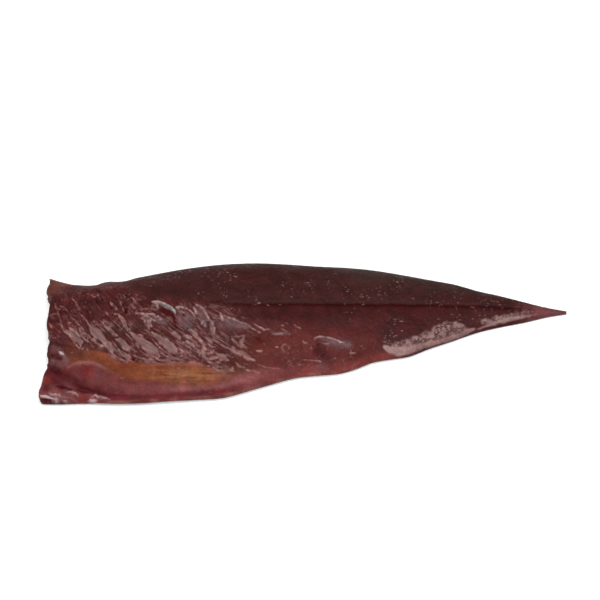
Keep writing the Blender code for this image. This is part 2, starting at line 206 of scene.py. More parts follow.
# Lilac edges of muscle sheath, and pale streaks by the lower edge that are painted highlights.
SHEATHS = (
    ((176, 308, 1), (180, 307.3, 1.2), (185, 308.3, 1), (190, 311, 0.8), (194, 315, 1), (195, 318.5, 0.8)),
    ((193.5, 308, 0.6), (195.5, 311, 0.8), (196.5, 313.5, 0.6)),
    ((196.5, 305, 0.8), (200, 305.5, 1.2), (203, 309, 1.2), (206, 314, 1.4), (208.5, 318, 1.2),
     (209, 321, 0.7)),
    ((220.5, 313.5, 0.8), (221.5, 317, 1.3), (222, 320, 0.7)),
    ((224, 316, 0.7), (228, 317.5, 1), (232, 318.5, 1.1), (236, 320, 1), (240, 322, 0.7)),
    ((240, 322, 0.4), (247, 323.5, 0.5), (252, 328, 0.6), (258, 331, 0.6), (262, 333, 0.5)),
    ((255, 324, 0.5), (260, 327, 0.8), (264, 329, 0.6), (270, 328.5, 0.4)),
    ((315, 338, 1.1), (319, 336, 0.8), (324, 336, 0.8), (331, 337.5, 0.8), (337, 339.5, 0.8),
     (340, 341.5, 1.3), (344, 342, 0.6)),
    ((321, 341.5, 0.5), (325, 343, 0.8), (329, 343.5, 0.6)),
    ((200.5, 321.5, 0.6), (203, 321.5, 0.9), (201.5, 324.5, 0.8)),
    ((140.5, 313.6, 0.7), (147, 314, 0.7), (152, 315, 0.6)),
    ((152, 314.5, 0.6), (156.5, 317, 0.8), (161, 319, 0.7), (164, 320, 0.4)),
    ((146, 316, 0.5), (150.5, 319, 0.7), (155, 321, 0.6)),
    ((142, 318.5, 0.6), (145, 321, 0.8), (144.5, 323.5, 0.5)),
    ((148, 321, 0.5), (151, 323.5, 0.7), (150.5, 326.5, 0.6)),
    ((146.5, 325, 0.6), (149, 328, 0.7)),
    ((181.5, 312, 0.6), (184, 313.2, 0.7)),
    ((91.5, 396.5, 0.6), (95.5, 394.6, 0.7)),
    ((96.5, 394.5, 0.6), (103, 396.3, 0.6), (109.5, 399, 0.4)),
    ((88, 400.5, 0.6), (93, 400.2, 1.5), (97, 400, 0.9)),
    ((92, 397, 0.6), (94, 398.5, 0.8)),
    ((67, 391.4, 0.4), (72, 391.2, 0.9), (76, 392.8, 0.9), (78.3, 395, 0.4)),
    ((54, 396, 0.5), (57, 398, 1), (59, 400, 0.5)),
    ((50, 394.5, 0.4), (55, 393.5, 0.6), (60, 394, 0.4)),
    ((62, 399.8, 0.3), (70, 401, 0.5), (78, 402.2, 0.3)),
)
# The largest torn flap, the hole under it and the cut that runs down from it, with smaller ones.
TORN_FLAP = (
    ((153.5, 302, 0.7), (158, 302, 1.2), (162.5, 304.4, 1.7), (167, 306.7, 1.8), (171.5, 309, 1.7),
     (174.6, 311.3, 1.6), (175, 314, 0.6)),
    ((154.5, 302.5, 0.7), (157, 305, 0.8), (157.8, 308, 0.8)),
)
# The holes and cuts are darkened as painted shade as well as raw flesh.
HOLES = (
    ((160.5, 308.3, 0.8), (164, 310.3, 2), (168, 312.8, 2.6), (172.5, 314, 1.2)),
    ((126, 309, 0.7), (126.5, 312.5, 1.2)),
    ((131.5, 358.5, 0.8), (134, 359, 0.9)),
)
CUTS = (
    ((172.6, 314, 1.1), (174, 318.4, 1.2), (175, 323, 1.1), (176, 328, 0.8)),
    ((182.3, 313.5, 0.8), (183.5, 315.5, 0.9)),
    ((239, 279.5, 0.2), (246, 277.8, 0.6), (253, 275.8, 0.6), (261, 274.5, 0.3), (266, 272.8, 0.1)),
    ((198, 343, 0.2), (201, 346, 0.4), (202, 349, 0.2)),
)
TORN_MIDDLE = (
    ((160, 304.8, 0.6), (164.5, 306.4, 1.1), (169.5, 308.8, 0.9), (172, 310, 0.3)),
)
TORN_ROSE = (
    ((153, 301.6, 0.9), (158, 301.4, 1), (163, 303.1, 1), (168, 305.5, 0.9), (171, 307.2, 0.5)),
    ((154.5, 302.5, 0.8), (157, 305.5, 0.8), (158, 308, 0.8)),
)
# The soft pale crest where the flap begins; its pale line is partly a painted highlight.
CREST = (
    ((68, 366.5, 0.6), (73, 363.8, 1.2), (79.5, 361.8, 1.5), (86, 362, 1.7), (94, 362.2, 1.2),
     (100, 364.8, 1.3), (106, 368, 1.1), (112, 371.5, 0.5)),
)
# The brightest wet glints, and small sparks as (across, down, size): both are painted highlights.
GLINTS = (
    ((40.5, 395.4, 0.9), (45, 395.8, 1.4), (49, 397, 1), (53, 398.2, 0.4), (57, 399.4, 0.1)),
    ((59, 351, 0.5), (61.4, 352.4, 1.5), (63.5, 354, 0.8)),
    ((91, 399.5, 0.8), (94, 400.8, 1)),
    ((94, 394.8, 0.1), (99, 396.5, 0.5), (105, 398, 0.3)),
)
SPARKS = (
    (136, 313.5, 1.1), (146, 322, 1), (148, 327, 1), (151, 325, 0.8), (127.5, 329, 0.9), (69, 323, 1.2),
    (98, 296, 1), (136, 294.5, 1), (128.5, 299.5, 1), (206, 308, 0.9), (214, 307.5, 1), (193, 317, 1),
    (196, 319.5, 0.9), (183, 328.5, 1.1), (168, 320.5, 0.9), (215, 334, 1), (214.5, 347.5, 1.2),
    (206, 337, 1), (232.5, 357, 1.1), (283, 325, 1), (277, 347, 1.4), (264, 343, 1.4), (353, 352.5, 1.3),
    (362, 345.5, 1), (300, 363.5, 1.2), (298, 351, 0.9), (335, 357.5, 0.9), (320.5, 361, 0.9),
    (401, 320.5, 1.1), (402, 330, 1), (385, 337.5, 1), (396, 335, 0.8), (438, 318, 0.9), (460, 319, 1),
    (485, 315, 1), (72, 352.5, 0.9), (208, 335, 0.8), (207, 320.5, 0.9), (231, 309, 0.9), (224, 307, 0.8),
    (280, 304, 0.8), (268, 304.5, 0.9), (363, 303.5, 1.2), (345, 303.5, 0.8), (437, 302, 0.9),
    (500, 304, 0.9), (259, 302.5, 1.2), (249, 296, 1.2), (227, 271, 1), (236, 276, 1.2), (230, 274, 1),
    (199, 293, 1), (190, 270, 1), (283, 284, 1), (291, 296, 1), (308, 282, 1), (397, 281, 1),
)
# Where the wet flesh is flecked with small silvery painted glints.
GLINT_FLECKS = (
    ((141, 315, 1.5), (146, 319, 3), (150, 324, 3.5), (150, 328, 2)),
    ((150, 314, 1), (157, 317.5, 2), (165, 321, 1)),
    ((202, 321, 1.5), (205, 326, 2)),
    ((132, 303, 1), (135, 308, 1.6), (137, 312, 0.6)),
    ((213, 320, 1), (214, 327, 1.8), (214, 333, 1)),
    ((98, 348, 0.6), (104, 345, 1.6), (108, 342, 0.6)),
)
# Broad lilac veils of wet sheath, whose grey-lilac tint is partly a painted sheen.
VEILS = (
    ((178, 310.5, 1.5), (184, 313.5, 3.5), (189, 319, 4), (191, 325, 3)),
    ((178.5, 315, 1.2), (180.5, 320, 3), (181, 326, 2.5)),
    ((196, 307, 1.5), (200, 312, 3.5), (204, 318, 3), (205, 324, 2.5)),
    ((180, 323, 2), (185, 326, 2.5), (192, 330, 2)),
    ((145, 315.5, 1.5), (154, 318, 2.2), (162, 322, 2.5), (167, 323, 1.5)),
    ((222, 319, 1), (230, 322, 3), (240, 325, 3), (248, 327, 1.2)),
    ((320, 338, 1), (330, 340, 2), (340, 343, 2.5), (349, 344, 2)),
    ((270, 331, 1), (280, 333, 2), (290, 333, 1)),
    ((53, 346, 1), (58, 348, 2.5), (62, 353, 2.5), (66, 359, 2.2), (68, 364, 1)),
    ((43, 393.5, 1), (50, 395, 2), (57, 396.5, 2.6), (64, 398.5, 1.6)),
    ((61, 391.5, 0.8), (68, 391.5, 1.2), (76, 393.5, 1.4), (78, 396, 0.6)),
    ((53, 377, 0.8), (60, 380, 1.5), (68, 384, 0.8)),
)
# Wine-dark bands on the flap, beside the wet lump and under the lower edge, partly painted shade.
WINE_BANDS = (
    ((42, 401, 3.6), (48, 401.6, 3.9), (56, 402.8, 3.3), (64, 404.2, 1.8)),
    ((56, 385.5, 0.6), (60, 386.5, 1.4), (65, 387, 1.2), (72, 389, 0.5)),
    ((76, 389.5, 0.5), (84, 391.5, 1), (92, 393, 0.8)),
    ((98, 393, 1), (110, 395.3, 2), (124, 395.8, 1.8), (138, 396, 1), (148, 396, 0.2)),
    ((51, 353.5, 1.1), (53, 355.5, 1.3)),
    ((57, 357.5, 1.5), (60.5, 357.8, 1.8)),
    ((50, 368.5, 1), (56, 371, 2), (62, 373, 1)),
)
# The dark fold along the belly flap.
FOLD = (
    ((58, 371.5, 1), (64, 374.5, 2.2), (71, 379, 3), (78, 384, 3), (86, 387.5, 2.4), (95, 390.5, 1.8),
     (108, 393.5, 1)),
)
# The wet sheen towards the tail, whose pale tint paints its reflection: where it is smooth, and where
# cracks net it.
SMOOTH_SHEEN = (
    ((385, 346.5, 2), (392, 350, 4.2), (400, 351, 4.6), (408, 349.5, 4.2), (424, 345, 2.8),
     (444, 339.5, 2.2), (460, 334.5, 2), (467, 331, 2.6), (474, 328.5, 1.2)),
    ((478, 328.5, 0.6), (488, 325, 1.2), (500, 321, 2.2), (512, 318, 2.2), (524, 316, 1.6),
     (536, 314.3, 0.8)),
)
NETTED_SHEEN = (
    ((384, 341, 0.5), (396, 345, 3), (408, 343.5, 5), (418, 340, 6), (430, 336, 6.5), (440, 331, 7.5),
     (448, 328, 7.5), (458, 327, 5.5), (464, 329, 3.5)),
    ((482, 321, 2), (487, 321, 3.6), (494, 319.5, 3), (503, 317, 2.6), (511, 314.5, 1.5)),
    ((512, 315, 1.2), (520, 313, 2.6), (528, 311, 2.2), (536, 310, 1)),
)
# Soft coloured places in the picture's pixels, as (across, down, size).
PLACES = {
    # Lilac places, partly painted sheen.
    "violet_sheen": (
        (187, 319, 5), (200, 313, 5), (163, 322, 3), (230, 325, 5), (238, 325, 4), (221, 326, 4),
        (202, 333, 3), (330, 341, 4), (339, 343, 5), (348, 344, 4),
    ),
    "brown": (
        (240, 361, 5), (95, 345, 4), (108, 338, 4), (163, 330, 4), (236, 372, 5), (72, 348, 5),
        (80, 353, 6),
    ),
    # Where the flakes are paler, partly as painted reflection.
    "paler": ((202, 345, 10), (143, 352, 7), (220, 357, 9), (176, 350, 6), (190, 336, 7), (250, 357, 5)),
    "red": ((88, 370, 6), (82, 398, 5), (47, 380, 3.5)),
    "wine": (
        (53, 368, 4), (59, 370, 3), (322, 354, 7), (316, 350, 3), (62, 387, 3), (259, 339, 3), (318, 344, 2),
    ),
    "dusk": (
        (82, 380, 9), (98, 387, 8), (66, 374, 7), (112, 391, 6), (52, 375, 6), (122, 392, 5), (57, 380, 6),
        (46, 388, 4), (47, 371, 4),
    ),
    "russet": ((252, 343, 7), (258, 338, 5), (248, 352, 5), (262, 346, 5)),
    "blush": (
        (97, 374, 6), (66, 363.5, 4), (51, 389, 6), (62, 380, 3), (69, 385, 3), (322, 366, 6), (53, 362, 4),
        (60, 364, 4), (54, 349, 4), (196, 347, 8), (184, 354, 6), (206, 355, 6),
    ),
    # Where painted highlight dots lie close together.
    "speckled": (
        (228, 273, 7), (222, 282, 6), (200, 293, 4), (225, 294, 4), (288, 284, 8), (308, 286, 7),
        (330, 282, 6), (347, 290, 7), (365, 296, 6), (397, 283, 8), (380, 293, 7), (435, 299, 8),
        (455, 297, 8), (488, 300, 8), (504, 303, 7), (350, 313, 6), (60, 292, 8), (130, 300, 9),
        (80, 300, 9), (255, 301, 4), (390, 336, 8), (290, 358, 8), (350, 360, 6), (395, 322, 6),
        (312, 366, 5), (455, 313, 6), (475, 314, 7), (520, 310, 8), (148, 322, 6), (158, 318, 6),
        (204, 322, 4), (178, 272, 7), (150, 281, 6), (205, 271, 7), (236, 277, 7), (215, 277, 6),
        (165, 278, 6), (250, 287, 6),
    ),
}
# A thin pale ring on the lower loin, a painted highlight, as (across, down, radius).
GLINT_RING = (285.5, 347, 3.6)

# What is drawn by strokes: the strokes, how far inside them it starts and is full, in pixels, and how much
# ragged and fine unevenness its edge has.
DRAWN = {
    "thread_glint": (THREADS, -0.4, 0.7, 0, 0.5),
    "fold": (FOLD, -4, 2.5, 0.7, 0),
    "crest": (CREST, -1.4, 1.4, 0.6, 0.3),
    "raw_and_shade": (HOLES, -0.8, 0.6, 0, 0.2),
    "raw_cut_and_shade": (CUTS, -0.9, 0.5, 0, 0.2),
    "hole": (HOLES, -1, 1.4, 0, 0),
    "slit": (CUTS, -0.8, 0.8, 0, 0),
    "shred_and_glint": (SHEATHS, -0.5, 0.9, 0.3, 0.5),
    "torn": (TORN_FLAP, -0.5, 0.7, 0, 0.3),
    "torn_middle": (TORN_MIDDLE, -0.6, 0.6, 0, 0.4),
    "torn_rose": (TORN_ROSE, -0.6, 0.6, 0, 0.4),
    "wine_band_shade": (WINE_BANDS, -1, 1.2, 0.5, 0),
    "painted_glint": (GLINTS, -0.6, 0.6, 0, 0.4),
    # Flecks of painted glint.
    "silver": (GLINT_FLECKS, -0.5, 1, 0, 0),
    "sheen": (SMOOTH_SHEEN, -1.2, 1.2, 0.5, 0),
    "net": (NETTED_SHEEN, -0.8, 2, 1.6, 0.9),
}
# How wet each named place looks, which adds up to the gloss.
WETNESS = {
    "flake": 0.62, "shred_and_glint": 0.6, "torn": 0.5, "torn_rose": 0.3, "sheen": 0.75, "painted_glint": 0.7, "veil_sheen": 0.35,
    "painted_spark": 0.4, "tail": 0.25,
}

# The grids: one cell of the skin side spans several of the flesh side.
STATIONS = 480
ROWS = 180
SKIN_STATIONS = 240
SKIN_ROWS = 30
CUT_ROWS = 8
EDGE_INSET = 0.004
SHARP_ANGLE = 65.0
# Places on the sheet of baked colours, as shares of its width, U, and of its height, V.
HEAD_U = 0.045
LENGTH_U = 0.95
CUT_U = 0.04
FLESH_V = 0.38
FLESH_WIDTH_V = 0.6
SKIN_V = 0.03
SKIN_WIDTH_V = 0.3
EDGES_V = (0.37, 0.99)

# The camera that took the picture, in millimetres, degrees and pixels.
CAMERA_AIM = Vector((-3.3, 23.3, 0.0))
CAMERA_DISTANCE = 1100.0
CAMERA_ELEVATION = 50.0
CAMERA_LENS = 136.2
SENSOR = 36.0
PIXELS = 600

# The floor, in metres, and the lamps: place and size in millimetres, and watts. All lamps face the origin.
FLOOR_SIZE = 6.0
FLOOR_GAP = 0.0002
LAMPS = {
    "overhead": ((0, 0, 1000), (1500, 730), 11.0),
    "front": ((0, -820, 1170), (1600, 640), 8.0),
    "left": ((-1200, -500, 900), (600, 600), 2.6),
    "right": ((1200, -500, 900), (600, 600), 2.6),
}

# The distance between the skin's dark bars, in millimetres, and the slant of its colours along the fish.
BAR_PITCH = 11.0
SKIN_SLANT = 0.045


def through(points, at):
    """A smooth curve through the points, read at these places."""
    x, y = np.array(points, float).T
    slope = np.gradient(y, x)
    k = np.clip(np.searchsorted(x, at, "right") - 1, 0, len(x) - 2)
    step = x[k + 1] - x[k]
    t = np.clip((at - x[k]) / step, 0, 1)
    return (
        (1 + 2 * t) * (1 - t) ** 2 * y[k]
        + t * (1 - t) ** 2 * step * slope[k]
        + t**2 * (3 - 2 * t) * y[k + 1]
        + t**2 * (t - 1) * step * slope[k + 1]
    )


def ease(low, high, value):
    """0 below low, 1 above high, and smooth between them."""
    t = np.clip((value - low) / (high - low), 0, 1)
    return t * t * (3 - 2 * t)


def span(x, start, full, fade, end):
    """1 from full to fade, 0 before start and after end, and smooth between them."""
    return ease(start, full, x) * (1 - ease(fade, end, x))


def bell(offset, width):
    """1 at no offset, 0.37 at this width and nearly 0 at twice that."""
    return np.exp(-((offset / width) ** 2))


def hump(centre, half_width, value):
    """A bell that is 1 at the centre and nearly 0 past its half width."""
    return bell(value - centre, half_width) ** 2.5


def spots(x, y, places, wide=1.0, high=1.0):
    """Bells about the places, each of its own size, which can be drawn out across or down."""
    return sum(bell(x - px, wide * size) * bell(y - py, high * size) for px, py, size in places)


def picture(x, y, z):
    """The pixel of the picture that shows each point, given in millimetres."""
    tilt = math.radians(CAMERA_ELEVATION)
    dx, dy, dz = x - CAMERA_AIM.x, y - CAMERA_AIM.y, z - CAMERA_AIM.z
    depth = CAMERA_DISTANCE + dy * math.cos(tilt) - dz * math.sin(tilt)
    scale = CAMERA_LENS / SENSOR * PIXELS / depth
    return PIXELS / 2 + dx * scale, PIXELS / 2 - (dy * math.sin(tilt) + dz * math.cos(tilt)) * scale


def inside(px, py, strokes):
    """How far inside the strokes each point is, in pixels: below 0 is outside them all."""
    best = np.full_like(px, -99.0)
    for stroke in strokes:
        for (ax, ay, aw), (bx, by, bw) in zip(stroke, stroke[1:]):
            t = ((px - ax) * (bx - ax) + (py - ay) * (by - ay)) / ((bx - ax) ** 2 + (by - ay) ** 2)
            t = np.clip(t, 0, 1)
            far = np.hypot(px - ax - t * (bx - ax), py - ay - t * (by - ay))
            best = np.maximum(best, aw + t * (bw - aw) - far)
    return best


def uneven(x, y, size, seed=0.0):
    """Smooth unevenness from about -1 to 1, with bumps of this size in millimetres."""
    flat = [noise.noise(Vector((a / size, b / size, seed))) for a, b in zip(np.ravel(x), np.ravel(y))]
    return np.reshape(flat, np.shape(x)) * 1.6


def across(x, y):
    """Where a point lies across the fillet: shares of the way to the back edge and to the belly edge."""
    middle = through(BACKBONE, x)
    to_back = (y - middle) / (through(BACK_EDGE, x) - middle)
    to_belly = (middle - y) / (middle - through(BELLY_EDGE, x))
    return np.clip(to_back, 0, 1), np.clip(to_belly, 0, 1)


def loin(share):
    """The fall of a thick muscle from the backbone, 1, to its edge, 0."""
    return (1 - share**2.4) ** 0.6


def flat_loin(share):
    """The same where the cut face falls gently and then faster to a thin edge."""
    return 1 - 0.35 * share**1.6 - 0.65 * share**5


def belly_wall(share):
    """The same over the belly cavity: a rib cage that falls to a thinner flap with a rounded edge."""
    ribs = 1 - 0.66 * ease(0.1, 0.66, share)
    return ribs * (1 - share**12) ** 0.5


def flow(x, y):
    """A point's place across the ribs and along them: they slant to the tail as they near the belly."""
    below = through(BACKBONE, x) - y
    lean = 1 + 0.8 * ease(-105, -30, x)
    place = x - lean * (0.5 * below + 0.007 * below**2) + 2.2 * uneven(x, y, 15, 3.0)
    return place, 1.3 * below


def rib_zone(x, y):
    """1 over the rib cage and 0 elsewhere."""
    below = through(BACKBONE, x) - y
    start = -14 * (1 - ease(-95, -70, x)) - 3
    lobes = 0.9 * uneven(x, y, 4, 12.0)
    where = ease(start, start + 8, below) * ease(0, 1.2, y - through(RIB_END, x) + lobes)
    return where * (1 - ease(-46, -16, x))


def scraps(x, y, place, along, zone):
    """How far inside one of the small scraps of flesh between the flakes a point is."""
    grain = uneven(place, along / 5, 1.9, 21.0) + 0.4 * uneven(x, y, 3.4, 22.0)
    right = span(x, -85, -60, -34, -20)
    return np.minimum(2.2 * (grain - 0.84 + 0.36 * right) - 4 * (1 - zone), 1.0)


def flap_relief(x, y):
    """The belly flap: a crest where the cavity lining ends, a swollen flap and a fold."""
    line = through(FLAP_LINE, x)
    fold = through(FOLD_LINE, x)
    swell = ease(0, 6, line - y) * ease(0, 5, y - fold) * (1 - ease(-60, -20, x))
    crest = bell(y - line, 1.3) * span(x, -116, -110, -98, -84)
    crease = bell(y - fold, 2.2) * (1 - 0.5 * ease(-105, -80, x)) * (1 - ease(-60, -40, x))
    return FLAP_SWELL * swell + 0.4 * crest - FOLD_DEPTH * crease


def head_corner(x, y):
    """A soft lump on the head cut, and the curled tip where the cut meets the belly edge."""
    lump = 1.3 * bell(x + 116.5, 2.6) * bell(y + 15.2, 3.0)
    curl = 1.7 * (1 - ease(-120, -106, x)) * ease(-30, -38, y)
    return lump + curl


def body_height(x, y):
    """The flesh side without its fine relief, close to the solid's."""
    to_back, to_belly = across(x, y)
    thick = through(THICKNESS, x)
    back_rim = BACK_LIFT * thick + EDGE_THICKNESS
    belly_rim = BELLY_LIFT * thick + EDGE_THICKNESS
    ribs = 1 - ease(-48, -4, x)
    belly_shape = ribs * belly_wall(to_belly) + (1 - ribs) * flat_loin(to_belly)
    back = back_rim + (thick - back_rim) * loin(to_back)
    belly = belly_rim + (thick - belly_rim) * belly_shape
    height = np.where(to_back > 0, back, belly)
    shoulder = SHOULDER * thick / 13 * ease(-100, -40, x)
    height += shoulder * hump(0.24, 0.24, to_back) * (to_back > 0)
    height += 0.7 * shoulder * hump(0.22, 0.22, to_belly) * (to_belly > 0)
    groove = BACKBONE_GROOVE * span(x, -75, -30, 100, 122) * np.minimum(1, thick / 8)
    height -= groove * bell(y - through(BACKBONE, x), BACKBONE_GROOVE_HALF_WIDTH)
    inner = np.minimum(1, 3.2 * (1 - np.maximum(to_back, to_belly)))
    height += inner * np.minimum(1, thick / 9) * (0.55 * uneven(x, y, 26, 1.0) + 0.3 * uneven(x, y, 9, 2.0))
    return height + flap_relief(x, y) + head_corner(x, y)


def flesh_marks(x, y, z=None):
    """The named places of the flesh side, each from 0 to 1, which its relief and its colours are made from.

    The height is given for points of the edges and of the head cut, which lie below the flesh side.
    """
    to_back, to_belly = across(x, y)
    below = through(BACKBONE, x) - y
    place, along = flow(x, y)
    px, py = picture(x, y, body_height(x, y) + MEAN_RELIEF if z is None else z)
    flap_line, rib_end, belly = (through(line, x) for line in (FLAP_LINE, RIB_END, BELLY_EDGE))
    wander = uneven(x, y, 8, 30.0)
    ragged = uneven(x, y, 2.6, 31.0)
    fine = uneven(x, y, 1.3, 32.0)
    streaky = uneven(place, along / 4, 1.4, 6.0)
    streaks = uneven(x / 7, y + 0.06 * x, 1.5, 37.0)
    zone = rib_zone(x, y)
    broken = ease(-0.5, 0.4, uneven(x, y, 2.2, 36.0) + 0.1)
    marks = {name: spots(px, py, places) for name, places in PLACES.items()}
    for name, (strokes, start, full, ragged_share, fine_share) in DRAWN.items():
        depth = inside(px, py, strokes) + ragged_share * ragged + fine_share * fine
        marks[name] = ease(start, full, depth)

    # The broad regions.
    marks["back"] = ease(-1.5, 2.0, -below) * ease(-112, -70, x + 4 * wander)
    # Olive-grey band towards the back edge, partly a painted sheen.
    marks["olive_sheen"] = ease(0.25, 0.8, to_back + 0.1 * wander) * span(x, 0, 25, 75, 105)
    marks["head"] = (1 - ease(-105, -60, x + 8 * wander)) * ease(-6, 8, y)
    marks["corner"] = spots(x, y, ((-122, 28, 8),))
    marks["crease"] = bell(below - 0.3, 1.5) * span(x, -60, -20, 108, 122)
    marks["ribs"] = zone
    marks["lower"] = ease(8, 19, below) * (1 - zone) * span(x, -60, -40, 24, 40)
    marks["tail"] = ease(98, 112, x + 3 * ragged)

    # The flakes, lighter partly as painted reflection and with a painted highlight on their outlines, the
    # dark moat round them as painted shade, and the sheath over them.
    veil_sheen = inside(px, py, VEILS) + 0.8 * ragged + 0.5 * streaky
    marks["veil_sheen"] = ease(-1.5, 1.5, veil_sheen) * (0.72 + 0.28 * ease(-0.6, 0.6, fine + 0.5 * streaky))
    bare = 1 - marks["veil_sheen"]
    flake = inside(px, py, FLAKES) + 0.7 * streaky + 0.45 * fine
    scrap = scraps(x, y, place, along, zone)
    marks["flake"] = np.maximum(ease(-0.5, 0.7, flake), 0.7 * ease(0, 0.35, scrap) * bare)
    marks["paler"] = marks["flake"] * np.minimum(1, marks["paler"])
    marks["outline_highlight"] = bell(flake - 0.4, 0.6) * ease(-0.2, 0.5, ragged + 0.2)
    marks["moat_shade"] = np.maximum(bell(flake + 1.4, 0.9), bell(scrap + 0.45, 0.4) * zone * bare)
    marks["moat_shade"] *= (0.2 + 0.8 * zone) * (1 - 0.45 * ease(-70, -55, x))
    fringe = ease(-0.35, 0.45, uneven(x / 2.5, y, 1.1, 42.0)) * span(x, -100, -90, -42, -28)
    marks["fringe"] = hump(0.4, 1.5, y - rib_end + 0.5 * ragged) * fringe

    # The cavity lining, the flap and the belly edge, lighter at the edge partly as painted reflection, with
    # a painted highlight line along the rim.
    lining = ease(-118, -104, x + 3 * wander) * (1 - ease(-34, -20, x + 2 * ragged))
    marks["membrane"] = ease(-0.6, 1.2, rib_end - y + 0.6 * ragged) * lining
    marks["golden"] = hump(-54, 32, x) * hump(-27.7, 6, y) * ease(-0.9, 0.4, streaks + 0.4 * ragged)
    pink = ease(-0.1, 0.9, 0.7 * streaks + 1.1 * hump(0, 5, rib_end - y) - 0.25)
    marks["pinkish"] = marks["membrane"] * ease(-80, -68, x) * pink
    marks["rosy"] = span(x, -72, -58, -32, -16) * hump(2.4, 3.6, flap_line - y + 0.6 * ragged)
    marks["flap"] = ease(-1.8, 2.6, flap_line - y + 0.9 * ragged) * (1 - ease(-14, 6, x + 2 * wander))
    marks["fold"] *= 0.6 + 0.4 * ease(68, 82, px)
    marks["rim"] = hump(1.7, 2.6, y - belly + 0.4 * ragged) * span(x, -100, -90, -40, -20)
    gaps = ease(-0.3, 0.5, uneven(x / 3, y, 2.4, 35.0) + 0.1)
    # A painted highlight line along the belly edge.
    marks["rim_highlight"] = hump(0.2, 0.8, y - belly) * span(x, -100, -90, 20, 28) * gaps
    marks["belly_edge_sheen"] = ease(0.86, 0.98, to_belly) * span(x, -50, -10, 35, 50)

    # Threads, shreds, cuts and glints, the sheen towards the tail, and the gloss of it all. The glints,
    # sparks and sheen, and parts of the threads and shreds, are painted highlights.
    ring = ease(0.3, 1.2, np.abs(np.hypot(px - GLINT_RING[0], py - GLINT_RING[1]) - GLINT_RING[2]))
    ring = 0.6 * (1 - ring) * ease(-0.4, 0.3, ragged)
    marks["thread_glint"] = np.maximum(marks["thread_glint"] * (0.4 + 0.6 * broken), ring)
    marks["shred_and_glint"] *= 0.7 + 0.3 * broken
    marks["raw_and_shade"] = np.maximum(marks["raw_and_shade"], 0.9 * marks.pop("raw_cut_and_shade"))
    sparks = spots(px + 0.6 * ragged, py + 0.8 * ragged, SPARKS, 1.5, 0.6)
    marks["painted_spark"] = ease(0.35, 0.8, sparks + 0.35 * fine)
    # The silver flecks are small painted glints, mixed into the painted glint mark.
    flecks = ease(0.25, 0.6, uneven(x, y, 0.9, 41.0) + 0.1 * broken)
    marks["painted_glint"] = np.maximum(marks["painted_glint"], 0.55 * marks.pop("silver") * flecks)
    smooth, net = marks["sheen"], marks["net"]
    marks["net"] = net * (1 - smooth)
    marks["sheen"] = np.maximum(smooth, 0.85 * net)
    wet = sum(share * marks[name] for name, share in WETNESS.items())
    wet += 0.6 * marks["thread_glint"] * (1 - 0.8 * marks["flap"])
    marks["gloss"] = wet * (1 - marks["raw_and_shade"]) * (1 - 0.85 * marks["wine_band_shade"])
    return {name: np.clip(values, 0, 1) for name, values in marks.items()}


def flesh_height(x, y, marks):
    """The height of the flesh side with its flakes, sheaths, tears and fine wrinkles."""
    zone, cover = marks["ribs"], marks["flake"]
    place, along = flow(x, y)
    wave = place / RIB_PITCH - np.floor(place / RIB_PITCH)
    broad = ease(0, 0.3, wave) * (1 - 0.25 * wave) - ease(0.8, 1, wave) - 0.5
    strands = uneven(place, along / 6, 1.7, 5.0) * (0.6 + 0.5 * uneven(x, y, 9, 8.0))
    relief = zone * (0.75 + 0.3 * broad) * (1 - 0.4 * cover) + FLAKE_HEIGHT * cover
    relief += 0.22 * zone * strands * (1 - 0.7 * cover)
    relief += 0.22 * marks["thread_glint"] - 0.3 * marks["moat_shade"] * zone
    relief += 0.14 * marks["sheen"] * (1 - np.abs(uneven(x, y, 2.2, 9.0)))
    relief += 0.12 * marks["lower"] * uneven(x, y, 2.8, 11.0)
    relief += 0.06 * uneven(x, y, 2.0, 10.0) * (1 - 0.6 * cover)
    relief += 0.35 * marks["shred_and_glint"] + 0.8 * marks["torn"] - 0.4 * marks["torn_middle"] + 0.2 * marks["painted_glint"]
    relief -= 1.3 * marks["hole"] + 0.5 * marks["slit"]
    return body_height(x, y) + relief


def skin_height(x, y):
    """The height of the skin side above the table: flat where it lies, lifted at the edges."""
    to_back, to_belly = across(x, y)
    thick = through(THICKNESS, x)
    back = BACK_LIFT * ease(0.62, 1.25, to_back) / ease(0.62, 1.25, 1.0) * (to_back > 0)
    belly = BELLY_LIFT * ease(0.84, 1.08, to_belly) / ease(0.84, 1.08, 1.0) * (to_belly > 0)
    return thick * (back + belly)


def footprint(stations, down):
    """The (x, y) of a grid over the fillet: stations from head to tail, rows as shares of the way down."""
    along = np.linspace(0, 1, stations + 1)[:, None]
    along = 0.52 * along + 0.48 * along**2
    down = np.atleast_1d(down)[None, :]
    head = through(HEAD_CUT, down)
    x = head + (HALF_LENGTH - head) * along
    y = through(BACK_EDGE, x) * (1 - down) + through(BELLY_EDGE, x) * down
    return x, y


def spread(rows):
    """Shares of the way from back to belly, closer together near both edges."""
    even = np.linspace(0, 1, rows + 1)
    return EDGE_INSET + (1 - 2 * EDGE_INSET) * (0.6 * even + 0.2 * (1 - np.cos(np.pi * even)))


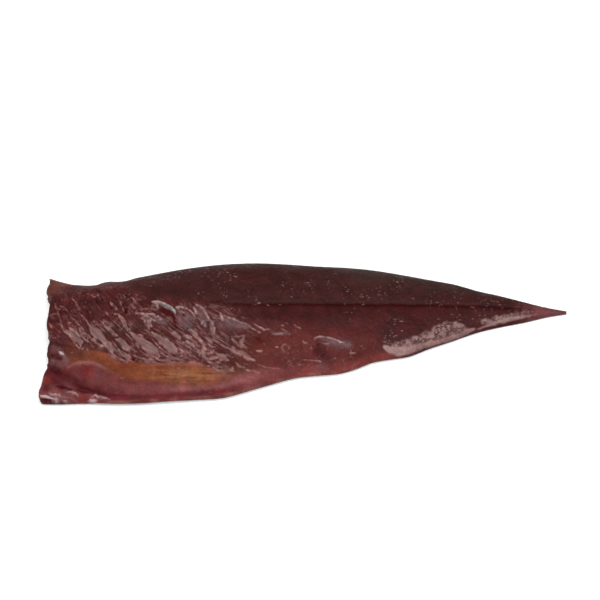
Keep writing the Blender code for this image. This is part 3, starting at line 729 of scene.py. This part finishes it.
class Grids:
    """Collects grids of points and the faces between them, with each point's UV place and marks."""

    def __init__(self):
        self.points, self.places, self.marks, self.faces, self.sides = [], [], [], [], []

    def add(self, x, y, z, u, v, marks=None):
        """Adds a grid of points and returns their numbers in the same layout."""
        x, y, z, u, v = np.broadcast_arrays(x, y, z, u, v)
        first = sum(len(p) for p in self.points)
        self.points.append(np.stack((x, y, z), -1).reshape(-1, 3))
        self.places.append(np.stack((u, v), -1).reshape(-1, 2))
        self.marks.append(marks or {})
        return first + np.arange(x.size).reshape(x.shape)

    def quads(self, grid, side):
        cells = np.stack([grid[:-1, :-1], grid[:-1, 1:], grid[1:, 1:], grid[1:, :-1]], -1).reshape(-1, 4)
        self.faces += [tuple(c) for c in cells.tolist()]
        self.sides += [side] * len(cells)

    def strip(self, fine, coarse, side):
        """Faces between a row of points and a row with fewer."""
        ratio = (len(fine) - 1) // (len(coarse) - 1)
        for k in range(len(coarse) - 1):
            run = fine[k * ratio:(k + 1) * ratio + 1]
            self.patch([*run, coarse[k + 1], coarse[k]], side)

    def patch(self, loop, side):
        self.faces.append(tuple(int(n) for n in loop))
        self.sides.append(side)

    def mark(self, name):
        """One mark of all the points, 0 where a grid has none."""
        empty = [np.zeros(len(points)) for points in self.points]
        return np.concatenate([np.ravel(m.get(name, e)) for m, e in zip(self.marks, empty)])


FLESH_SIDE = 0
SKIN_SIDE = 1


def bare_edge(x):
    """The share of the edge's thickness that is skin: more of it shows below the belly flap."""
    return LEAST_EDGE_SKIN + 0.5 * span(x, -103, -97, -62, -46)


def fillet_grids():
    """All the points and faces of the fillet: flesh, skin, the two edges, the head cut and the tail."""
    grids = Grids()
    rows = spread(ROWS)
    x, y = footprint(STATIONS, rows)
    marks = flesh_marks(x, y)
    z = flesh_height(x, y, marks)
    u = HEAD_U + LENGTH_U * np.linspace(0, 1, STATIONS + 1)[:, None]
    v = FLESH_V + FLESH_WIDTH_V * rows[None, :]
    flesh = grids.add(x, y, z, u, v, marks)
    grids.quads(flesh, FLESH_SIDE)

    skin_rows = spread(SKIN_ROWS)
    sx, sy = footprint(SKIN_STATIONS, skin_rows)
    su = HEAD_U + LENGTH_U * np.linspace(0, 1, SKIN_STATIONS + 1)[:, None]
    sv = SKIN_V + SKIN_WIDTH_V * skin_rows[None, :]
    skin = grids.add(sx, sy, skin_height(sx, sy), su, sv)
    grids.quads(skin[:, ::-1], SKIN_SIDE)

    ends = []
    for down, column, place in ((0.0, 0, EDGES_V[0]), (1.0, -1, EDGES_V[1])):
        rx, ry = footprint(STATIONS, down)
        share = bare_edge(rx) if down else LEAST_EDGE_SKIN
        rz = skin_height(rx, ry) + share * EDGE_THICKNESS
        ring = grids.add(rx, ry, rz, u, place, flesh_marks(rx, ry, rz))[:, 0]
        edge, under = flesh[:, column], skin[:, column]
        order = -1 if down else 1
        grids.quads(np.stack([ring, edge][::order], 1), FLESH_SIDE)
        grids.strip(ring[::order], under[::order], SKIN_SIDE)
        ends.append(ring)

    depth = np.arange(1, CUT_ROWS)[:, None] / CUT_ROWS
    top, low = z[:1], skin_height(x[:1], y[:1])
    cut_y = y[:1] + 0 * depth
    rough = uneven(cut_y, top * depth * 2, 4, 20.0) + 0.9 * uneven(cut_y, top * depth, 2.2, 24.0)
    bulge = 3 * depth * (1 - depth) * (0.4 + rough)
    cut_x = x[:1] + bulge
    cut_z = top + (low - top) * depth
    cut = grids.add(cut_x, cut_y, cut_z, HEAD_U - CUT_U * depth, v, flesh_marks(cut_x, cut_y, cut_z))
    grids.quads(np.vstack([cut[::-1], flesh[:1]]), FLESH_SIDE)
    grids.strip(cut[-1][::-1], skin[0][::-1], FLESH_SIDE)
    for ring, column, order in ((ends[0], 0, 1), (ends[1], -1, -1)):
        loop = [ring[0], skin[0][column], *cut[::-1, column], flesh[0][column]]
        grids.patch(loop[::order], FLESH_SIDE)
    grids.strip(flesh[-1], skin[-1], FLESH_SIDE)
    grids.patch([flesh[-1][0], skin[-1][0], ends[0][-1]], FLESH_SIDE)
    grids.patch([flesh[-1][-1], ends[1][-1], skin[-1][-1]], FLESH_SIDE)
    return grids, list(marks)


def fillet_mesh():
    grids, names = fillet_grids()
    points = np.vstack(grids.points)
    mesh = bpy.data.meshes.new("fillet")
    mesh.from_pydata((points * MM).tolist(), [], grids.faces)
    for name in names:
        attribute = mesh.attributes.new(name, "FLOAT", "POINT")
        attribute.data.foreach_set("value", grids.mark(name).astype(np.float32))
    place, along = flow(points[:, 0], points[:, 1])
    lines = mesh.attributes.new("flow", "FLOAT_VECTOR", "POINT")
    vectors = np.stack((place, along, 0 * place), -1) * MM
    lines.data.foreach_set("vector", vectors.astype(np.float32).ravel())
    mesh.polygons.foreach_set("material_index", grids.sides)
    places = np.vstack(grids.places)
    corner = np.empty(len(mesh.loops), np.int32)
    mesh.loops.foreach_get("vertex_index", corner)
    layer = mesh.uv_layers.new(name="OFBake")
    layer.data.foreach_set("uv", places[corner].astype(np.float32).ravel())
    mesh.shade_smooth()
    mesh.set_sharp_from_angle(angle=math.radians(SHARP_ANGLE))
    mesh.validate()
    return mesh


class Nodes:
    """A material's node tree, with short calls for the nodes used here. Sizes are in millimetres."""

    def __init__(self, name):
        self.material = bpy.data.materials.new(name)
        self.material.use_nodes = True
        self.tree = self.material.node_tree
        self.shader = self.tree.nodes["Principled BSDF"]
        self.here = self.tree.nodes.new("ShaderNodeTexCoord").outputs["Object"]

    def put(self, socket, value):
        """Links a socket, or gives it a value: a colour's is a tuple of three."""
        if isinstance(value, bpy.types.NodeSocket):
            self.tree.links.new(value, socket)
        elif isinstance(value, tuple) and socket.type == "RGBA":
            socket.default_value = (*value, 1.0)
        else:
            socket.default_value = value

    def add(self, kind, inputs, **settings):
        """A new node with these settings, and with its inputs by name or number."""
        node = self.tree.nodes.new("ShaderNode" + kind)
        for name, value in settings.items():
            setattr(node, name, value)
        for name, value in inputs.items():
            self.put(node.inputs[name], value)
        return node

    def finish(self, inputs):
        """Sets or links the shader's own inputs, by name, and gives the material."""
        for name, value in inputs.items():
            self.put(self.shader.inputs[name], value)
        return self.material

    def mark(self, name, output="Fac"):
        return self.add("Attribute", {}, attribute_name=name).outputs[output]

    def math(self, operation, a, b=0.0, kind="Math"):
        return self.add(kind, {0: a, 1: b}, operation=operation).outputs[0]

    def vector_math(self, operation, a, b):
        return self.math(operation, a, b, "VectorMath")

    def mix(self, share, a, b, blend="MIX"):
        inputs = {"Factor": share, 6: a, 7: b}
        return self.add("Mix", inputs, data_type="RGBA", blend_type=blend).outputs[2]

    def noise(self, size, detail=3.0, place=None, output="Fac"):
        """Noise with features of this size."""
        inputs = {"Vector": place or self.here, "Scale": 1 / (size * MM), "Detail": detail}
        return self.add("TexNoise", inputs).outputs[output]

    def cells(self, size, feature="F1", place=None):
        """The distance and the random colour of cells of this size."""
        inputs = {"Vector": place or self.here, "Scale": 1 / (size * MM)}
        node = self.add("TexVoronoi", inputs, feature=feature)
        return node.outputs["Distance"], node.outputs.get("Color")

    def ramp(self, value, low, high, start=0.0, end=1.0):
        """A value, taken smoothly from its range, low to high, to the range from start to end."""
        inputs = {"Value": value, "From Min": low, "From Max": high, "To Min": start, "To Max": end}
        return self.add("MapRange", inputs, interpolation_type="SMOOTHSTEP").outputs["Result"]

    def blotches(self, size, start, end, low=0.3, high=0.7, detail=3.0):
        """Noise with features of this size, taken to the range from start to end."""
        return self.ramp(self.noise(size, detail), low, high, start, end)

    def product(self, *factors):
        total = factors[0]
        for factor in factors[1:]:
            total = self.math("MULTIPLY", total, factor)
        return total

    def off(self, *names):
        """0 on the named marks, and 1 elsewhere."""
        most = self.mark(names[0])
        for name in names[1:]:
            most = self.math("MAXIMUM", most, self.mark(name))
        return self.math("SUBTRACT", 1.0, most)

    def stretched(self, angle, factor):
        """The place, drawn out by this factor in the direction of this angle."""
        inputs = {"Vector": self.here, "Rotation": (0, 0, math.radians(angle)), "Scale": (factor, 1, 1)}
        return self.add("Mapping", inputs, vector_type="TEXTURE").outputs["Vector"]

    def warped(self, size, amount):
        """The place moved about by noise, so that lines drawn from it wander."""
        shift = self.vector_math("SUBTRACT", self.noise(size, 2.0, output="Color"), (0.5, 0.5, 0.5))
        shift = self.vector_math("MULTIPLY", shift, (amount * MM,) * 3)
        return self.vector_math("ADD", self.here, shift)

    def contour(self, value, level, width):
        """Thin lines where a value passes a level."""
        gap = self.math("ABSOLUTE", self.math("SUBTRACT", value, level))
        return self.ramp(gap, 0.0, width, 1.0, 0.0)

    def specks(self, size, share, radius, place):
        """Small dots in this share of the cells; the radius is a share of a cell."""
        distance, colour = self.cells(size, place=place)
        chosen = self.math("GREATER_THAN", colour, 1 - share)
        return self.product(self.ramp(distance, 0.5 * radius, radius, 1.0, 0.0), chosen)

    def bump(self, height, distance, strength, normal=None):
        inputs = {"Height": height, "Distance": distance * MM, "Strength": strength}
        if normal is not None:
            inputs["Normal"] = normal
        return self.add("Bump", inputs).outputs["Normal"]


# Flesh colours, linear: the ground colour, then what each named place mixes in, in this order.
FLESH_GROUND = (0.045, 0.008, 0.008)
FLESH_TINTS = (
    ("back", (0.041, 0.0105, 0.0098)),
    # Olive-grey band, partly painted sheen.
    ("olive_sheen", (0.038, 0.0175, 0.0145)),
    ("head", (0.06, 0.0125, 0.0125)),
    ("corner", (0.14, 0.045, 0.033)),
    ("lower", (0.086, 0.0145, 0.0128)),
    ("crease", (0.03, 0.002, 0.0025)),
    ("ribs", (0.06, 0.01, 0.0105)),
    # Lighter belly edge, partly painted reflection.
    ("belly_edge_sheen", (0.15, 0.03, 0.026)),
    # Painted reflection of the wet sheen, over its real gloss.
    ("sheen", (0.215, 0.112, 0.105)),
    ("membrane", (0.155, 0.036, 0.015)),
    ("golden", (0.254, 0.104, 0.047)),
    ("pinkish", (0.2, 0.068, 0.048)),
    ("brown", (0.075, 0.0165, 0.009)),
    ("flap", (0.142, 0.033, 0.033)),
    # Lilac sheath, partly painted sheen.
    ("violet_sheen", (0.096, 0.042, 0.047)),
    ("veil_sheen", (0.102, 0.044, 0.048)),
    ("blush", (0.125, 0.04, 0.042)),
    ("dusk", (0.088, 0.013, 0.015)),
    ("russet", (0.08, 0.011, 0.0055)),
    ("red", (0.155, 0.02, 0.017)),
    ("wine", (0.048, 0.0025, 0.0045)),
    ("rosy", (0.2, 0.062, 0.06)),
    # Pale crest line, partly a painted highlight.
    ("crest", (0.19, 0.07, 0.064)),
    ("fold", (0.052, 0.004, 0.0055)),
    # Wine-dark bands, partly painted shade.
    ("wine_band_shade", (0.046, 0.0018, 0.0042)),
    ("rim", (0.092, 0.009, 0.0125)),
    # Painted highlight line along the belly rim.
    ("rim_highlight", (0.2, 0.065, 0.054)),
    # Painted shade in the moat round the flakes.
    ("moat_shade", (0.04, 0.006, 0.006)),
    ("fringe", (0.205, 0.086, 0.074)),
    # Flakes lighter partly as painted reflection; the outline tint is a painted highlight.
    ("flake", (0.123, 0.0385, 0.0325)),
    ("paler", (0.184, 0.076, 0.066)),
    ("outline_highlight", (0.255, 0.12, 0.11)),
    ("tail", (0.118, 0.033, 0.035)),
    # Pale threads, partly painted highlight lines.
    ("thread_glint", (0.21, 0.093, 0.084)),
    # Raw flesh, darkened as painted shade in the holes and cuts.
    ("raw_and_shade", (0.05, 0.0006, 0.0018)),
    # Pale sheath shreds, partly painted highlights.
    ("shred_and_glint", (0.3, 0.168, 0.166)),
    ("torn", (0.25, 0.212, 0.19)),
    ("torn_rose", (0.335, 0.195, 0.2)),
    ("torn_middle", (0.085, 0.07, 0.062)),
    # Painted highlights: the sparks and the glints.
    ("painted_spark", (0.17, 0.096, 0.088)),
    ("painted_glint", (0.34, 0.24, 0.245)),
)


def flesh_glint_lines(nodes):
    """Fine pale lines, painted highlights: elongated loops among the flakes, and small loops and worms on the
    lower loin.
    """
    among = 0.0
    for size, stretch, level, width, seed in ((2.2, 7, 0.52, 0.035, 0.0), (1.5, 5, 0.46, 0.04, 0.3)):
        drawn = nodes.vector_math("MULTIPLY", nodes.mark("flow", "Vector"), (1, 1 / stretch, 1))
        strands = nodes.noise(size, 2.0, nodes.vector_math("ADD", drawn, (seed, 0, 0)))
        among = nodes.math("MAXIMUM", among, nodes.contour(strands, level, width))
    patches = nodes.blotches(6, 0.08, 1.0, 0.44, 0.6)
    away = nodes.ramp(nodes.mark("head"), 0.0, 1.0, 1.0, 0.35)
    calm = nodes.product(nodes.off("flake"), nodes.off("veil_sheen", "membrane"))
    among = nodes.product(among, nodes.mark("ribs"), patches, calm, away)
    below = nodes.contour(nodes.noise(4.5, 1.0), 0.56, 0.02)
    below = nodes.product(below, nodes.mark("lower"), nodes.blotches(8, 0.0, 0.6, 0.42, 0.56))
    return nodes.product(nodes.math("MAXIMUM", among, below), nodes.off("raw_and_shade", "torn")), strands


def flesh_cracks(nodes):
    """The dark cracks that net the wet sheen."""
    edges = nodes.cells(2.1, "DISTANCE_TO_EDGE", nodes.warped(1.5, 3.0))[0]
    patches = nodes.blotches(3.4, 0.25, 1.0, 0.4, 0.56)
    return nodes.product(nodes.ramp(edges, 0.03, 0.26, 1.0, 0.0), nodes.mark("net"), patches)


def flesh_glint_dots(nodes):
    """Small wet dots painted as highlights: close together where the flesh is speckled, and few elsewhere off
    the flap.
    """
    tiny = nodes.product(nodes.specks(1.5, 0.5, 0.42, nodes.warped(3.0, 2.5)), nodes.mark("speckled"))
    small = nodes.specks(2.9, 0.3, 0.22, nodes.stretched(-25, 2.4))
    small = nodes.product(small, nodes.blotches(9, 0.0, 0.7, 0.5, 0.6))
    return nodes.product(nodes.math("MAXIMUM", tiny, small), nodes.off("flap"))


def flesh_material():
    """Dark wet flesh: a colour for each named place, mottled, with wet gloss on the flakes and sheaths.

    Some of the colours are painted highlights, painted reflections and painted shade.
    """
    nodes = Nodes("raw_flesh")
    colour = FLESH_GROUND
    for name, tint in FLESH_TINTS:
        colour = nodes.mix(nodes.mark(name), colour, tint)
    lines, strands = flesh_glint_lines(nodes)
    cracks = flesh_cracks(nodes)
    dots = flesh_glint_dots(nodes)
    ribbed = nodes.product(nodes.ramp(strands, 0.35, 0.65, -0.2, 0.2), nodes.mark("ribs"))
    shade = nodes.product(nodes.blotches(7, 0.8, 1.2, detail=4.0), nodes.blotches(1.1, 0.86, 1.14))
    shade = nodes.product(shade, nodes.math("ADD", 1.0, ribbed))
    colour = nodes.mix(1.0, colour, shade, "MULTIPLY")
    grain = nodes.product(nodes.contour(strands, 0.5, 0.05), nodes.mark("flake"), 0.4)
    colour = nodes.mix(grain, colour, (0.062, 0.016, 0.015))
    colour = nodes.mix(nodes.product(cracks, 0.85), colour, (0.05, 0.017, 0.016))
    # Painted highlight lines.
    colour = nodes.mix(lines, colour, (0.19, 0.085, 0.078))
    colour = nodes.mix(dots, colour, (0.13, 0.068, 0.062))

    gloss = nodes.math("MAXIMUM", nodes.mark("gloss"), nodes.product(lines, 0.5))
    gloss = nodes.math("MAXIMUM", gloss, nodes.product(dots, 0.4))
    gloss = nodes.product(gloss, nodes.ramp(cracks, 0.0, 1.0, 1.0, 0.1), nodes.blotches(2.4, 0.75, 1.2))
    fine = nodes.bump(nodes.noise(1.9, 2.0), 0.9, nodes.ramp(nodes.mark("gloss"), 0.0, 0.6, 0.5, 0.16))
    ridges = nodes.math("SUBTRACT", nodes.math("MAXIMUM", lines, dots), cracks)
    wet = nodes.bump(ridges, 0.25, 0.8, fine)
    return nodes.finish({
        "Base Color": colour,
        "Roughness": nodes.ramp(gloss, 0.0, 1.0, 0.6, 0.4),
        "Specular IOR Level": 0.07,
        "Normal": wet,
        "Coat Weight": nodes.ramp(gloss, 0.0, 1.0, 0.05, 1.0),
        "Coat Roughness": 0.07,
        "Coat IOR": 1.4,
        "Coat Normal": wet,
    })


def skin_material():
    """Mackerel skin: silver below, dark blue-green with soft wavy bars towards the back."""
    nodes = Nodes("mackerel_skin")
    split = nodes.add("SeparateXYZ", {0: nodes.here})
    x, y = (nodes.math("MULTIPLY", split.outputs[axis], 1 / MM) for axis in "XY")
    height = nodes.math("SUBTRACT", y, nodes.math("MULTIPLY", x, SKIN_SLANT))
    height = nodes.math("ADD", height, nodes.blotches(14, -3, 3))
    wave = nodes.math("ADD", x, nodes.blotches(22, -6, 6, detail=1.0))
    bar = nodes.math("SINE", nodes.math("MULTIPLY", wave, 2 * math.pi / BAR_PITCH))
    bar = nodes.product(nodes.ramp(bar, -0.25, 0.25), nodes.ramp(height, 12.0, 20.0))
    silver = nodes.mix(nodes.blotches(5, 0.0, 1.0, 0.35, 0.65), (0.34, 0.33, 0.32), (0.24, 0.24, 0.25))
    colour = nodes.mix(nodes.ramp(height, 8.0, 20.0), silver, (0.035, 0.085, 0.095))
    return nodes.finish({
        "Base Color": nodes.mix(bar, colour, (0.008, 0.012, 0.018)),
        "Roughness": nodes.blotches(3, 0.25, 0.4),
        "Metallic": 0.35,
        "Normal": nodes.bump(nodes.cells(1.3)[0], 0.05, 0.5),
        "Coat Weight": 0.8,
        "Coat Roughness": 0.12,
    })


def add_object(name, data):
    """A new object in the scene."""
    thing = bpy.data.objects.new(name, data)
    bpy.context.scene.collection.objects.link(thing)
    return thing


def make_fillet():
    piece = add_object("fillet", fillet_mesh())
    piece.data.materials.append(flesh_material())
    piece.data.materials.append(skin_material())
    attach(piece, "root")
    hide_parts("mackerel_fillet")


def make_floor():
    bpy.ops.mesh.primitive_plane_add(size=FLOOR_SIZE, location=(0, 0, -FLOOR_GAP))
    floor = bpy.context.object
    floor.name = "floor"
    floor.data.materials.append(Nodes("pale_floor").finish({
        "Base Color": (0.9, 0.9, 0.9),
        "Roughness": 0.9,
        "Specular IOR Level": 0.0,
        "Emission Color": (1.0, 1.0, 1.0),
        "Emission Strength": 0.2,
    }))


def aim(thing, place, target):
    """Puts an object at a place, in millimetres, looking at a target."""
    thing.location = place * MM
    thing.rotation_euler = (target - place).to_track_quat("-Z", "Y").to_euler()


def make_lights():
    for name, (place, size, watts) in LAMPS.items():
        lamp = bpy.data.lights.new(name, "AREA")
        lamp.shape = "RECTANGLE"
        lamp.size = size[0] * MM
        lamp.size_y = size[1] * MM
        lamp.energy = watts
        aim(add_object(name, lamp), Vector(place), Vector((0, 0, 0)))
    world = bpy.data.worlds.new("room")
    world.use_nodes = True
    sky = world.node_tree.nodes["Background"]
    sky.inputs["Color"].default_value = (1, 1, 1, 1)
    sky.inputs["Strength"].default_value = 0.12
    bpy.context.scene.world = world


def make_camera():
    lens = bpy.data.cameras.new("camera")
    lens.lens = CAMERA_LENS
    lens.sensor_width = SENSOR
    camera = add_object("camera", lens)
    tilt = math.radians(CAMERA_ELEVATION)
    back = Vector((0, -math.cos(tilt), math.sin(tilt))) * CAMERA_DISTANCE
    aim(camera, CAMERA_AIM + back, CAMERA_AIM)
    bpy.context.scene.camera = camera


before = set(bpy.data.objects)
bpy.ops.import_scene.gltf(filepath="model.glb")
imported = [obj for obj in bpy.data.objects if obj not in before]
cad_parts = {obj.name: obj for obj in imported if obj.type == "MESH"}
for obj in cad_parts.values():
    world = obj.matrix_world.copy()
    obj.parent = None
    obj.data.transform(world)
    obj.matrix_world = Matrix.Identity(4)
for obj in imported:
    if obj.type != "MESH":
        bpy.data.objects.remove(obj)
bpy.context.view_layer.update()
make_fillet()
make_floor()
make_lights()
make_camera()
bpy.context.scene.view_settings.view_transform = "Standard"
